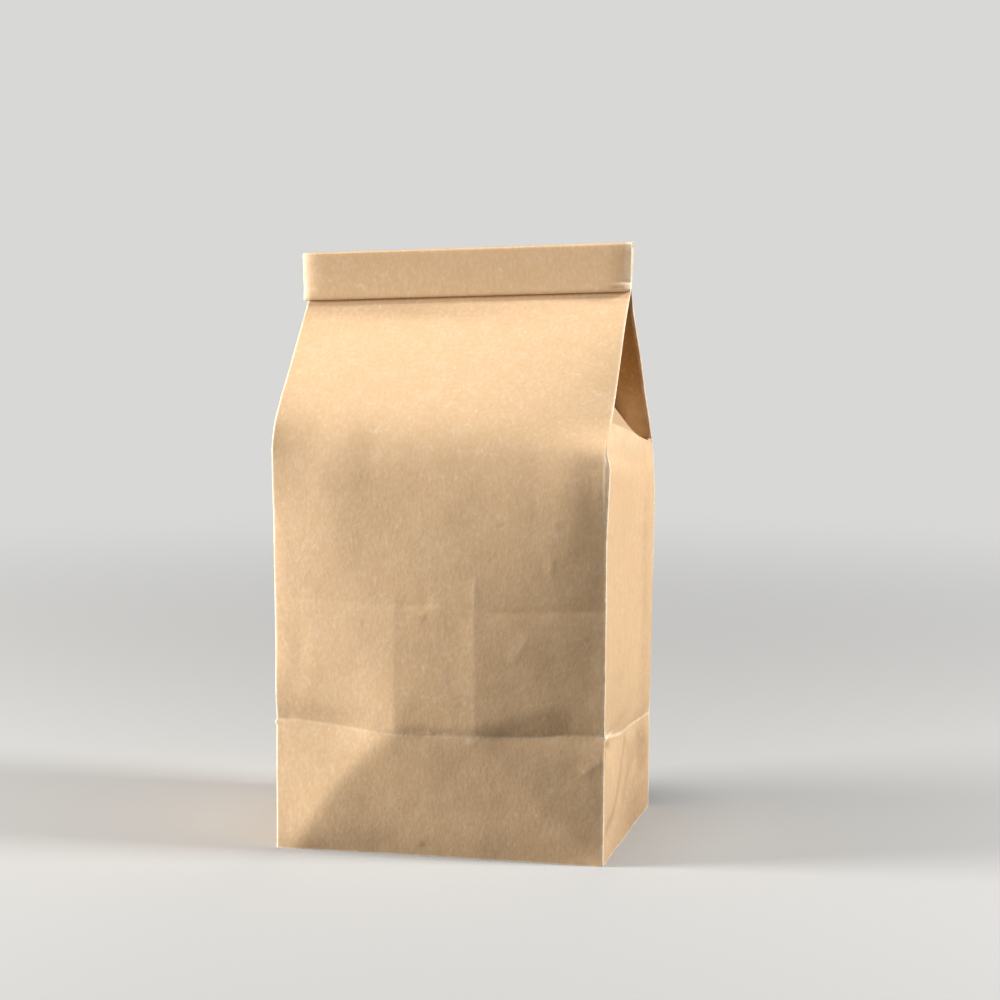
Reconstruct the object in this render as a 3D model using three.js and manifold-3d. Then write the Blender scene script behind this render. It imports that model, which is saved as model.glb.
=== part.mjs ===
// A kraft paper tea pouch: a flat-bottomed, side-gusseted bag, filled, with its mouth rolled down and pressed.
// Millimetres, +Z up. The front faces -Y, and the origin is the centre of the base.
//
// The bag is one solid. A box whose rows follow the paper up the front and back gives the filled body
// and its two slopes. The gussets fold in under the slopes, so each end has a pocket shaped like the
// end of a gable-top carton. The rolled mouth stands on the ridge and hangs over the front slope.
import * as THREE from "three";
import { ConvexGeometry } from "three/addons/geometries/ConvexGeometry.js";
import { mergeVertices } from "three/addons/utils/BufferGeometryUtils.js";
import Module from "manifold-3d";

const wasm = await Module();
wasm.setup();

// Driving dimensions
const width = 120; // front panel, edge to edge
const depth = 90; // side panel, front to back
const shoulderHeight = 147.5; // where the front leaves the vertical
const ridgeHeight = 199.9; // where the two slopes meet, at the right end
const ridgeOffset = 2.5; // how far behind the middle they meet, at the right end
const paperPair = 0.9; // a slope with its gusset pressed against it

// The soft bend of the front into its slope, as steps back from the front and up from the shoulder.
const bendStart = [0, -9];
const bendSteps = [
  [1.2, 0.5],
  [10.5, 9],
  [23.5, 26],
];
const backBendDrop = 8; // how far under the shoulder the back bends
const backBendRise = 4; // how far above its start that bend leans forward

const creaseHeight = 46; // fold left by the flat-packed bottom
const creaseDepth = 1.1;
const creaseReach = 9; // how far the paper leans in on each side of that fold
const creaseSideShare = 0.5; // how deep it is on the side panels, against the front
const frontSwell = 2.4; // how far the filling pushes the middle of each panel out
const sideSwell = 3;
const backSwell = 3; // extra depth of the filled body at its back edges
const fullestShare = 0.55; // where the back is fullest, as a share of the shoulder's height
const fillingPower = 0.7; // how soon the body fills out above its base

// The pocket at each end, where the gusset goes in
const pocketFrontIn = 9.5; // its front corner, back from the front and above the shoulder
const pocketFrontUp = 8;
const pocketBackDrop = 7; // its back corner, below the shoulder
const pocketOverreach = 0.4; // how far out from the edge its mouth is drawn
const pocketCutReach = 6; // how far beyond that the cut runs
const ridgeLeaf = 1.7; // leaves of paperPair left above the pocket

// The rolled mouth
const rollHeight = 17.5;
const rollThickness = 3.4;
const rollOverhang = 0.4; // part of the roll that hangs below the ridge
const rollFlare = 0.8; // how much wider it is than the front
const neckThickness = 1.1;
const rollSlot = 0.5; // gap between the roll and the neck behind it
const rollDrop = 4.8; // how much lower its left end is
const rollTwist = 4; // how much further forward its left end is

// How finely the body is divided
const columns = 18;
const sideColumns = 12;
const rows = 44;

const halfWidth = width / 2;
const halfDepth = depth / 2;

// The paper's line up the middle of the front, as (y, z).
function frontLine() {
  const slopeTop = new THREE.Vector2(ridgeOffset - neckThickness / 2, ridgeHeight);
  const bend = [bendStart, ...bendSteps].map(
    ([back, up]) => new THREE.Vector2(-halfDepth + back, shoulderHeight + up),
  );
  const line = new THREE.CurvePath();
  line.add(new THREE.LineCurve(new THREE.Vector2(-halfDepth, 0), bend[0]));
  line.add(new THREE.SplineCurve([...bend, slopeTop]));
  return line;
}

// The same up the back, which bends lower down and more sharply.
function backLine() {
  const slopeTop = new THREE.Vector2(ridgeOffset + neckThickness / 2, ridgeHeight);
  const fullest = new THREE.Vector2(halfDepth + backSwell, shoulderHeight * fullestShare);
  const bend = new THREE.Vector2(halfDepth + backSwell, shoulderHeight - backBendDrop);
  const line = new THREE.CurvePath();
  line.add(
    new THREE.QuadraticBezierCurve(
      new THREE.Vector2(halfDepth, 0),
      new THREE.Vector2(halfDepth + backSwell / 2, creaseHeight / 2),
      fullest,
    ),
  );
  line.add(new THREE.LineCurve(fullest, bend));
  line.add(
    new THREE.QuadraticBezierCurve(
      bend,
      new THREE.Vector2(halfDepth, bend.y + backBendRise),
      slopeTop,
    ),
  );
  return line;
}

// How full the bag is at a height: nothing at the base and the ridge, most in between.
function fullness(z) {
  return Math.max(0, Math.sin((Math.PI * z) / ridgeHeight)) ** fillingPower;
}

// How deep the bottom's fold is at a height.
function creaseAt(z) {
  return creaseDepth * Math.exp(-Math.abs(z - creaseHeight) / creaseReach);
}

// How far the ridge at a place across the width has moved from its right end: forward, and down.
function ridgeShift(x) {
  const share = (halfWidth - x) / width;
  return { forward: rollTwist * share, down: rollDrop * share };
}

// The filled body and slopes, from a box whose vertices move onto the paper.
function bodyGeometry() {
  const box = new THREE.BoxGeometry(2, 2, 1, columns, sideColumns, rows);
  const front = frontLine();
  const back = backLine();
  const place = box.getAttribute("position");
  for (let i = 0; i < place.count; i++) {
    const across = place.getX(i); // -1 at the left edge, 1 at the right
    const through = place.getY(i); // -1 at the front, 1 at the back
    const along = place.getZ(i) + 0.5; // share of the paper's length from base to ridge
    const frontPoint = front.getPointAt(along);
    const backPoint = back.getPointAt(along);
    const point = frontPoint.lerp(backPoint, (through + 1) / 2);
    const swell = fullness(point.y);
    const pinch = creaseAt(point.y);
    const narrow = 1 - along;
    const y = point.x + through * (frontSwell * swell * narrow * (1 - across ** 2) - pinch);
    const x = across * (halfWidth + sideSwell * swell * narrow * (1 - through ** 2) - pinch * creaseSideShare);
    const lean = Math.max(0, point.y - shoulderHeight) / (ridgeHeight - shoulderHeight);
    const shift = ridgeShift(x);
    place.setXYZ(i, x, y - lean * shift.forward, point.y - lean * shift.down);
  }
  return box;
}

// The pocket at one end, where the gusset has folded in. side is 1 at the right and -1 at the left.
function pocketGeometry(side) {
  const mouthX = side * (halfWidth + pocketOverreach);
  const tipX = side * (halfWidth - halfDepth);
  const underRidge = (x) => {
    const shift = ridgeShift(x);
    const z = ridgeHeight - shift.down - ridgeLeaf * paperPair;
    return new THREE.Vector3(x, ridgeOffset - shift.forward, z);
  };
  const mouth = [
    new THREE.Vector3(mouthX, -halfDepth + pocketFrontIn + paperPair, shoulderHeight + pocketFrontUp),
    new THREE.Vector3(mouthX, halfDepth - paperPair, shoulderHeight - pocketBackDrop),
    underRidge(mouthX),
  ];
  const outward = new THREE.Vector3(side * pocketCutReach, 0, 0);
  const outside = mouth.map((corner) => corner.clone().add(outward));
  return new ConvexGeometry([underRidge(tipX), ...mouth, ...outside]);
}

// The rolled mouth: a neck, and the roll that hangs in front of it, rounded at its folds.
function rollGeometry() {
  const reach = rollHeight - rollOverhang; // height above the ridge
  const backFace = neckThickness / 2;
  const frontFace = backFace - rollThickness;
  const slotFront = -backFace - rollSlot;
  const topRadius = rollThickness / 2;
  const lipRadius = (slotFront - frontFace) / 2;
  const profile = new THREE.Shape();
  profile.moveTo(backFace, -rollOverhang);
  profile.lineTo(backFace, reach - topRadius);
  profile.absarc(backFace - topRadius, reach - topRadius, topRadius, 0, Math.PI, false);
  profile.lineTo(frontFace, -rollOverhang + lipRadius);
  profile.absarc(frontFace + lipRadius, -rollOverhang + lipRadius, lipRadius, Math.PI, 2 * Math.PI, false);
  profile.lineTo(slotFront, reach - 2 * topRadius);
  profile.lineTo(-backFace, reach - 2 * topRadius);
  profile.lineTo(-backFace, -rollOverhang);
  profile.closePath();
  const roll = new THREE.ExtrudeGeometry(profile, {
    depth: width + rollFlare,
    steps: 1,
    curveSegments: 8,
    bevelEnabled: false,
  });
  // The profile is drawn as (y, z) and pushed along the width.
  roll.applyMatrix4(
    new THREE.Matrix4().makeBasis(
      new THREE.Vector3(0, 1, 0),
      new THREE.Vector3(0, 0, 1),
      new THREE.Vector3(1, 0, 0),
    ),
  );
  roll.translate(-halfWidth - rollFlare / 4, 0, 0);
  roll.rotateY(-Math.atan(rollDrop / width));
  roll.rotateZ(Math.atan(rollTwist / width));
  roll.translate(0, ridgeOffset - rollTwist / 2, ridgeHeight - rollDrop / 2);
  return roll;
}

// A closed geometry as a manifold solid.
function solid(geometry) {
  const bare = geometry.clone();
  bare.deleteAttribute("normal");
  bare.deleteAttribute("uv");
  const merged = mergeVertices(bare, 1e-4);
  return new wasm.Manifold(
    new wasm.Mesh({
      numProp: 3,
      vertProperties: merged.getAttribute("position").array,
      triVerts: new Uint32Array(merged.index.array),
    }),
  );
}

// A manifold solid as a geometry.
function geometryOf(shape) {
  const mesh = shape.getMesh();
  const geometry = new THREE.BufferGeometry();
  geometry.setAttribute("position", new THREE.BufferAttribute(mesh.vertProperties, 3));
  geometry.setIndex(new THREE.BufferAttribute(mesh.triVerts, 1));
  geometry.computeVertexNormals();
  return geometry;
}

function makeBag() {
  const body = [1, -1].reduce(
    (shape, side) => shape.subtract(solid(pocketGeometry(side))),
    solid(bodyGeometry()),
  );
  const kraft = new THREE.MeshStandardMaterial({ color: 0xc9a273, roughness: 0.85, metalness: 0 });
  const geometry = geometryOf(body.add(solid(rollGeometry())));
  geometry.computeBoundingBox();
  const middle = geometry.boundingBox.getCenter(new THREE.Vector3());
  const bag = new THREE.Mesh(geometry, kraft);
  bag.name = "pouch";
  bag.position.set(-middle.x, -middle.y, 0);
  return bag;
}

const pouch = new THREE.Group();
pouch.add(makeBag());

export default pouch;
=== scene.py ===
import math

import bmesh
import bpy
import numpy as np
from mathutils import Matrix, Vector, noise


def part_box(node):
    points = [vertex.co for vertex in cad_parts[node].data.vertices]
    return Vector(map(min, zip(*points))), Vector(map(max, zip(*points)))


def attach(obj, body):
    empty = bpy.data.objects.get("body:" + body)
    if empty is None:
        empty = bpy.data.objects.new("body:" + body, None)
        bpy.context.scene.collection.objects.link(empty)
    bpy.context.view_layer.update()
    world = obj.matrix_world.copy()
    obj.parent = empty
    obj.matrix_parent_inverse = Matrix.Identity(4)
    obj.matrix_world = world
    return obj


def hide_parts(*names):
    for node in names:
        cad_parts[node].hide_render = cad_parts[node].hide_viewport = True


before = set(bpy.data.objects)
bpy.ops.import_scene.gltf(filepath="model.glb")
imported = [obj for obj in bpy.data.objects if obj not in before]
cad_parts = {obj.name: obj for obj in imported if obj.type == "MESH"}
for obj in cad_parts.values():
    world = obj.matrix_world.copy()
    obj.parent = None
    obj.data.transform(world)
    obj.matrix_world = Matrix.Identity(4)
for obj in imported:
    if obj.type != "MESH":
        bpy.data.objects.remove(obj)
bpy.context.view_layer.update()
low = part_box("pouch")[0]
mm = 0.001
print("frame loaded")


# ---- the camera and the lights ----

camera = {
    "azimuth": 13.2,  # degrees round to the right of the front
    "elevation": 8.0,
    "distance": 1.035,
    "across": 0.0118,  # how far the aim is to the right of the bag's middle
    "up": 0.1212,
    "lens": 100,
}
lights = [
    # name, azimuth, elevation, distance, size, power, colour
    ("leftLight", -73, 10, 1.15, 0.46, 39.0, (1.0, 0.99, 0.975)),
    ("rightLight", 92, 28, 1.0, 0.2, 14.8, (1.0, 1.0, 1.0)),
    ("topLight", 0, 84, 1.0, 0.3, 4.4, (1.0, 1.0, 1.0)),
]
studio = {
    "floorSize": 12.0,
    "floorColour": (0.37, 0.367, 0.358),
    "bounceColour": (0.07, 0.065, 0.06),  # the floor as the bag sees it, so that it gives little light
    "air": (0.69, 0.686, 0.672),  # what the camera sees behind the floor
    "airFrom": 0.12,  # how far from the bag the floor begins to fade into it
    "airTo": 0.85,
    "ambient": 0.02,  # how much light comes from all round
}
# the base's middle is this far behind the front's furthest bulge
bagMiddle = Vector((0, low.y + 46.45 * mm, 0))


def onSphere(azimuth, elevation):
    a = math.radians(azimuth)
    e = math.radians(elevation)
    return Vector((math.sin(a) * math.cos(e), -math.cos(a) * math.cos(e), math.sin(e)))


def makeCamera():
    back = onSphere(camera["azimuth"], camera["elevation"])
    right = Vector((0, 0, 1)).cross(back).normalized()
    aim = bagMiddle + right * camera["across"] + back.cross(right) * camera["up"]
    data = bpy.data.cameras.new("studioCamera")
    data.lens = camera["lens"]
    data.clip_start = 0.05
    data.clip_end = 50
    obj = bpy.data.objects.new("studioCamera", data)
    obj.location = aim + back * camera["distance"]
    obj.rotation_mode = "QUATERNION"
    obj.rotation_quaternion = (-back).to_track_quat("-Z", "Y")
    bpy.context.collection.objects.link(obj)
    bpy.context.scene.camera = obj


def makeLights():
    aim = bagMiddle + Vector((0, 0, 0.1))
    for name, azimuth, elevation, distance, size, power, colour in lights:
        data = bpy.data.lights.new(name, "AREA")
        data.shape = "DISK"
        data.size = size
        data.energy = power
        data.color = colour
        obj = bpy.data.objects.new(name, data)
        direction = onSphere(azimuth, elevation)
        obj.location = aim + direction * distance
        obj.rotation_mode = "QUATERNION"
        obj.rotation_quaternion = (-direction).to_track_quat("-Z", "Y")
        bpy.context.collection.objects.link(obj)


def makeAir():
    world = bpy.data.worlds.new("studioAir")
    world.use_nodes = True
    nodes = world.node_tree.nodes
    link = world.node_tree.links.new
    nodes.clear()
    seen = nodes.new("ShaderNodeBackground")
    seen.inputs["Color"].default_value = (*studio["air"], 1)
    glow = nodes.new("ShaderNodeBackground")
    glow.inputs["Color"].default_value = (1, 0.98, 0.96, 1)
    glow.inputs["Strength"].default_value = studio["ambient"]
    path = nodes.new("ShaderNodeLightPath")
    mix = nodes.new("ShaderNodeMixShader")
    out = nodes.new("ShaderNodeOutputWorld")
    link(path.outputs["Is Camera Ray"], mix.inputs["Fac"])
    link(glow.outputs[0], mix.inputs[1])
    link(seen.outputs[0], mix.inputs[2])
    link(mix.outputs[0], out.inputs["Surface"])
    bpy.context.scene.world = world
    bpy.context.scene.view_settings.view_transform = "Standard"


def floorMaterial():
    material = bpy.data.materials.new("paleFloor")
    material.use_nodes = True
    nodes = material.node_tree.nodes
    link = material.node_tree.links.new
    shader = nodes["Principled BSDF"]
    shader.inputs["Base Color"].default_value = (*studio["floorColour"], 1)
    shader.inputs["Roughness"].default_value = 0.9
    path = nodes.new("ShaderNodeLightPath")
    bounce = nodes.new("ShaderNodeBsdfDiffuse")
    bounce.inputs["Color"].default_value = (*studio["bounceColour"], 1)
    look = nodes.new("ShaderNodeMixShader")
    link(path.outputs["Is Camera Ray"], look.inputs["Fac"])
    link(bounce.outputs[0], look.inputs[1])
    link(shader.outputs[0], look.inputs[2])
    # far from the bag the floor fades into the air behind it
    place = nodes.new("ShaderNodeTexCoord")
    away = nodes.new("ShaderNodeVectorMath")
    away.operation = "LENGTH"
    fade = nodes.new("ShaderNodeMapRange")
    fade.interpolation_type = "SMOOTHSTEP"
    fade.inputs["From Min"].default_value = studio["airFrom"]
    fade.inputs["From Max"].default_value = studio["airTo"]
    seenOnly = nodes.new("ShaderNodeMath")
    seenOnly.operation = "MULTIPLY"
    air = nodes.new("ShaderNodeEmission")
    air.inputs["Color"].default_value = (*studio["air"], 1)
    mix = nodes.new("ShaderNodeMixShader")
    link(place.outputs["Object"], away.inputs[0])
    link(away.outputs["Value"], fade.inputs["Value"])
    link(fade.outputs["Result"], seenOnly.inputs[0])
    link(path.outputs["Is Camera Ray"], seenOnly.inputs[1])
    link(seenOnly.outputs[0], mix.inputs["Fac"])
    link(look.outputs[0], mix.inputs[1])
    link(air.outputs[0], mix.inputs[2])
    link(mix.outputs[0], nodes["Material Output"].inputs["Surface"])
    return material


def makeFloor():
    bm = bmesh.new()
    bmesh.ops.create_grid(bm, x_segments=1, y_segments=1, size=studio["floorSize"] / 2)
    mesh = bpy.data.meshes.new("floor")
    bm.to_mesh(mesh)
    bm.free()
    mesh.materials.append(floorMaterial())
    floor = bpy.data.objects.new("floor", mesh)
    bpy.context.collection.objects.link(floor)


makeCamera()
makeLights()
makeAir()
makeFloor()
print("camera, lights and floor")


# ---- the paper bag, folded from one sheet ----

# Millimetres. Across is x, back is y and up is z, from the middle of the base.
bag = {
    "width": 120.0,
    "depth": 90.0,
    "cornerRadius": 0.4,  # of the upright folds
    "leafRadius": (0.28, 0.6),  # of the same folds where the gusset lies behind a slope, front and back
    "neckRadius": 0.2,  # and where the mouth is pressed flat
    "ridge": (2.0, 200.0),  # where the slopes meet at the right end, back and up
    "ridgeTwist": 2.0,  # how much further forward that is at the left end
    "ridgeDrop": 5.0,  # and how much lower
    "foldUp": (46.0, 36.5),  # the bottom's fold, at the front and at the back
    "foldSag": 2.8,  # how much lower it runs halfway between, on the sides
    "sagReach": 14.0,
    "middleBend": 155.0,  # where the middle of the front turns into its slope
    "middleSoftness": 12.0,
    "bendDrop": 1.0,  # how much lower that turn is at the right edge
    "bendDropFrom": 15.0,
    "ridgeGap": 0.5,  # how far in front of the ridge the front sheet meets it
    "edgeHold": 5,  # the edges' own line is kept near them, the nearer the higher this is
    "backBulge": 2.6,
    "backBulgeTop": 190.0,
    "seamAt": 18.0,  # the glued seam up the back, to the left of its middle
    "seamLap": 12.0,
    "seamStep": 0.16,
}
# How far each upright edge stands out sideways, as (up, out). It has an ear at the bottom's fold.
edgeBulge = {
    "leftFront": [(0, 0), (45, 0), (46, 0.8), (47, 0), (120, 0.2), (142, 0.6), (156, 0)],
    "rightFront": [(0, -0.1), (45, 0.1), (46, 0.4), (47, 0.1), (60, 0.4), (116, 0.6), (140, 1.7),
                   (143, 1.5), (146, 0.6), (156, 0)],
    "leftBack": [(0, 0), (45, 0), (46, 0.5), (47, 0), (130, 0.4), (156, 0)],
    "rightBack": [(0, 0), (45, 0.2), (60, 0.4), (137, 0.7), (156, 0)],
}
# The line of each of them from the side, as (up, back).
frontRight = [(0, -45), (60, -45), (120, -45), (141, -45), (148, -44), (156, -34.5), (173, -20.5),
              (190, -8), (200, 1.5)]
frontLeft = [(0, -45), (60, -45), (120, -45.5), (140, -45.5), (148, -44.5), (155, -42), (161.5, -36.5),
             (171, -26), (181, -15.5), (195, -0.5)]
backRight = [(0, 45), (40, 45.5), (80, 47), (98, 48.5), (113, 49.5), (126, 49.5), (136, 48.5), (140, 47.5),
             (161, 32.5), (169, 27), (177, 21), (191, 9), (200, 2.5)]

gusset = {
    "frontTop": (156.0, 160.0),  # where a side panel's top edge meets the front, right and left
    "backTop": 140.0,  # where it meets the back
    "topSlope": 0.19,  # how steeply that edge runs down near the back
    "over": (0.58, 0.98),  # how far back the folded-in paper lies flat, at the panel's edge and at most
    "overGrows": (0.37, 13, 1.6),  # how much that share grows, how deep in, and how late
    "drop": 0.3,  # how much it sinks below the panel's top edge, for each mm in
    "held": (9, 16),  # how deep in its sunk back part ends
    "softBeyond": 0.8,  # how far in from the edge its folds are softened
    "softTimes": 4,
}
roll = {
    "flare": (1.0, 0.2),  # how much further out than the bag's edge the roll reaches, left and right
    "halfNeck": 0.55,  # half the thickness of the pressed mouth
    "crownFlat": 0.3,  # how flat the top of the roll is pressed, 1 is round
    "layerGap": 0.35,
    "top": 17.1,  # its top above the ridge
    "hang": 0.4,  # how far its lip hangs below the ridge
    "lipFlat": 0.5,  # how flat the fold of the lip is, 1 is round
    "inner": 15.1,  # how far up the tucked end reaches
    "lean": 0.075,  # how far back it leans at the right end
    "leanTwist": 0.17,  # how much less at the left end
    "rightBends": [(9.0, 0.2), (1.7, 0.25)],  # how wide a strip of the end bends back, and how steeply
    "leftBends": [(6.0, 0.12), (1.4, 1.3)],
    "pinch": (3.0, 0.45, 6.5, 0.5),  # a crease near its right end: how far up, how deep, long and wide
}


def ease(start, end, value):
    share = np.clip((value - start) / (end - start), 0, 1)
    return share * share * (3 - 2 * share)


def between(t, span, here, there, leave, meet):
    # a smooth way from one value to the next, with a slope at each
    start = (2 * t**3 - 3 * t**2 + 1) * here + (t**3 - 2 * t**2 + t) * span * leave
    return start + (3 * t**2 - 2 * t**3) * there + (t**3 - t**2) * span * meet


def softLine(points, at):
    # a smooth line through the points, read at any height
    up = np.array([p[0] for p in points], float)
    value = np.array([p[1] for p in points], float)
    slope = np.gradient(value, up)
    k = np.clip(np.searchsorted(up, at) - 1, 0, len(up) - 2)
    span = up[k + 1] - up[k]
    t = np.clip((at - up[k]) / span, 0, 1)
    return between(t, span, value[k], value[k + 1], slope[k], slope[k + 1])


def softAcross(places, values, at):
    # the same, where each place has a whole array of values
    values = np.array(values)
    slope = np.gradient(values, places, axis=0)
    k = np.clip(np.searchsorted(places, at) - 1, 0, len(places) - 2)
    start = np.array(places)[k]
    span = np.array(places)[k + 1] - start
    t = np.clip((at - start) / span, 0, 1)
    here, there = (np.take_along_axis(values, (k + step)[None], 0)[0] for step in (0, 1))
    leave, meet = (np.take_along_axis(slope, (k + step)[None], 0)[0] for step in (0, 1))
    return between(t, span, here, there, leave, meet)


def cushion(across, rows, u, v):
    # a soft shape given at a few places across for each of a few heights
    up = [row[0] for row in rows]
    columns = zip(*[row[1] for row in rows])
    return softAcross(across, [softLine(list(zip(up, column)), v) for column in columns], u)


def stations(knots):
    # places along a line from the first knot to the last, each knot being (place, spacing there)
    places = [knots[0][0]]
    where = [k[0] for k in knots]
    spacing = [k[1] for k in knots]
    while places[-1] < where[-1]:
        places.append(places[-1] + float(np.interp(places[-1], where, spacing)))
    places = np.array(places)
    return where[0] + (places - where[0]) * (where[-1] - where[0]) / (places[-1] - where[0])


def distances(points):
    # how far along a line each of its points is
    return np.r_[0, np.cumsum(np.linalg.norm(np.diff(points, axis=0), axis=1))]


def fromRight(x):
    # how far over to the left a place is, 0 to 1
    return (bag["width"] / 2 - x) / bag["width"]


def ridgeAt(x):
    # how far back and how far up the slopes meet
    share = fromRight(x)
    return bag["ridge"][0] - bag["ridgeTwist"] * share, bag["ridge"][1] - bag["ridgeDrop"] * share


def unevenness(layers, u, v):
    total = 0
    for amount, size, seed in layers:
        flat = [noise.noise(Vector((a / size, b / size, seed))) for a, b in zip(u.ravel(), v.ravel())]
        total = total + amount * np.array(flat).reshape(u.shape)
    return total


# Marks pressed into a panel. A line is a list of (across, up), a depth under 0 is a valley, and reach is
# how far the paper leans to the left and to the right of the line as it is walked. Soft is how rounded
# its fold is, the pale amount how much it is rubbed pale and painted with highlight, the dark amount how
# much painted shade lies along it, and fade the share of it at each end where it dies out.
bottomFold = [(-75, 46), (-55, 47.5), (-27, 45.5), (-15, 44.5), (14, 45), (38, 45.5), (46, 46.5), (75, 46.5)]
frontMarks = [
    # the fold of the flat-packed bottom, sharper to the left and right
    {"line": bottomFold, "depth": -0.35, "reach": (4, 4), "worn": 0.35},
    {"line": bottomFold[:4], "depth": -0.55, "reach": (6, 5), "fade": 0.25},
    {"line": bottomFold[4:], "depth": -0.65, "reach": (5, 4), "fade": 0.25},
    # where the paper bulges over that fold
    {"line": [(-61, 58), (-47, 56), (-32, 51.5), (-24, 48)], "depth": 0.52, "reach": (6, 5), "soft": 2},
    {"line": [(9, 47.5), (22, 50), (34, 54.5), (43, 56.5), (50, 55.5), (57, 52.5), (62, 49)], "depth": 0.34,
     "reach": (9, 5), "soft": 1.8},
    # the left edge's soft turn
    {"line": [(-60.5, 60), (-60.5, 150)], "depth": -0.5, "reach": (3, 3), "fade": 0.15, "soft": 0.3},
    # the upright folds of the gussets behind
    {"line": [(-15, 43), (-15, 94)], "depth": 0.15, "reach": (6, 5), "fade": 0.1, "soft": 0.3},
    {"line": [(14.5, 43), (14, 105)], "depth": 0.2, "reach": (5, 6), "fade": 0.12, "soft": 0.3},
    {"line": [(14, 76), (14, 103)], "depth": 0.1, "reach": (5, 5), "fade": 0.3, "soft": 0.3},
    # the second fold across
    {"line": [(-58, 92), (-14, 91)], "depth": -0.2, "reach": (4, 3)},
    {"line": [(-15, 91), (-8, 91), (1, 92)], "depth": -0.22, "reach": (3, 2), "fade": 0.3},
    {"line": [(14, 91), (21, 89.5), (60, 91.5)], "depth": -0.2, "reach": (4, 3)},
    # the slanting folds of the bottom
    {"line": [(-14, 46), (-26, 36), (-37, 24), (-46, 12), (-54, -1)], "depth": 1.3, "reach": (13, 12),
     "soft": 3},
    {"line": [(16, 44), (60, 0)], "depth": 0.35, "reach": (9, 9), "soft": 2},
    {"line": [(52, 33), (60, 39)], "depth": 0.2, "reach": (3, 1.2), "fade": 0.2, "worn": 0.6},
    {"line": [(26, 71), (34.5, 83.5)], "depth": 0.15, "reach": (4, 4), "fade": 0.3, "worn": 0.25},
]
# How the filling pushes the front out: for each height, how far it does so at places across the bag.
bellyAcross = (-60, -42, -14, 14, 34, 49, 60)
belly = [
    (0, (0, 0, 0, 0, 0, 0, 0)),
    (7, (0, 1.2, 1.3, 1.4, 1.1, 0.7, 0)),
    (20, (0, 1.7, 2.7, 2.5, 1.9, 1.0, 0)),
    (46, (0, 1.4, 4.0, 3.6, 2.5, 1.0, 0)),
    (70, (0, 2.0, 4.1, 3.9, 2.9, 1.5, 0)),
    (96, (0, 2.3, 3.9, 3.9, 3.0, 1.6, 0)),
    (120, (0, 2.6, 3.3, 3.3, 3.0, 2.1, 0)),
    (140, (0, 2.1, 2.2, 2.1, 1.9, 1.6, 0)),
    (156, (0, 0.9, 1.0, 0.9, 0.6, 0.4, 0)),
    (176, (0, 0.4, 0.5, 0.4, 0.1, 0.1, 0)),
    (200, (0, 0, 0, 0, 0, 0, 0)),
]
# Small bumps and dents, as (across, up, how wide, how tall, how far out).
frontDents = [(-44, 151, 6, 8, -0.15), (-24, 146, 5, 7, -0.2), (13, 43, 1.5, 1.2, 0.1),
              (-4.5, 87.5, 1, 1, 0.16), (-50, 72, 3, 8, -0.12), (45, 120.5, 2.5, 2, -0.1),
              (41.5, 106.5, 1, 3.5, 0.12)]
sideMarks = [
    # the fold of the flat-packed bottom
    {"line": [(-46, 46.5), (-38, 45), (-32, 44), (-9, 40), (3, 38), (12, 37.5), (46, 36.5)], "depth": -1.2,
     "reach": (6, 7), "worn": 0.8},
    # the slanting folds below it, with painted shade along them
    {"line": [(12, 34.5), (-5, 26.5), (-17, 19), (-42, 9)], "depth": -1.0, "reach": (6, 3.5), "fade": 0.1,
     "soft": 1.6, "soiledAndShaded": 0.4},
    {"line": [(31, 33), (23, 23), (7, 15), (-8, 10)], "depth": -0.8, "reach": (4, 3), "fade": 0.1,
     "soft": 1.6, "soiledAndShaded": 0.35},
    # the gusset's own upright folds, with painted shade along the first
    {"line": [(28.5, 124), (29, 67), (30, 38)], "depth": -0.2, "reach": (4, 3), "fade": 0.1, "soiledAndShaded": 0.2},
    {"line": [(-10, 150), (-8, 100), (-12, 52)], "depth": 0.15, "reach": (7, 6), "fade": 0.2, "soft": 2},
    # the pinch at the front corner
    {"line": [(-44, 44), (-30, 38), (-39, 40)], "depth": -0.6, "reach": (3, 3), "fade": 0.1},
]
# Where the paper is rubbed pale, and where highlights are painted pale on it, as (across, up, how wide, how
# tall, how much),
frontWearAndHighlights = [(14, 95, 0.5, 7, 0.35), (60, 145, 0.7, 2.5, 1.2), (59.6, 137, 0.35, 9, 1.1),
                (58, 202.9, 3, 0.35, 1.2), (60, 200.2, 0.8, 0.5, 1.2), (58.5, 46.5, 1.6, 0.9, 0.5),
                (-58.5, 47, 1.5, 0.7, 0.4), (13, 43.5, 1.5, 1, 0.3)]
sideWearAndHighlights = [(-44.5, 48, 2.2, 3.6, 1.6), (-40.5, 46, 4.2, 1.7, 1.6), (-33, 44.3, 6, 0.9, 1.4),
               (-44.5, 42, 1, 3, 0.6), (44.5, 60, 0.6, 60, 0.35), (-25, 152, 24, 6, 0.3),
               (12, 146, 26, 6, 0.3)]
# and where it is soiled or scuffed darker, and where shade and shadow are painted darker on it.
frontSoilAndShade = [(-5.5, 4.5, 1, 1, 0.9), (45, 120.5, 1.6, 1.1, 0.4), (23, 121, 1, 1, 0.4),
             (58, 131.5, 0.6, 1.6, 0.4), (-5.5, 87, 1, 1, 0.5), (-26.5, 84, 0.7, 1.4, 0.4),
             (-56.5, 47.5, 1.3, 0.6, 0.5),
             # the rest is painted shade and shadow: beside the right front edge's soft turn, the roll's
             # shadow on the slope, under its pinch, and above the bottom's fold
             (60.7, 134, 0.6, 12, 0.6), (59, 132, 0.35, 9, 0.45), (-30, 192, 45, 3.5, 0.45),
             (48, 196.6, 9, 0.9, 0.55), (56, 201.3, 4, 0.7, 1.0), (-40, 51, 17, 3.5, 0.24),
             (0, 47.2, 11, 1.2, 0.3)]
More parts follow.
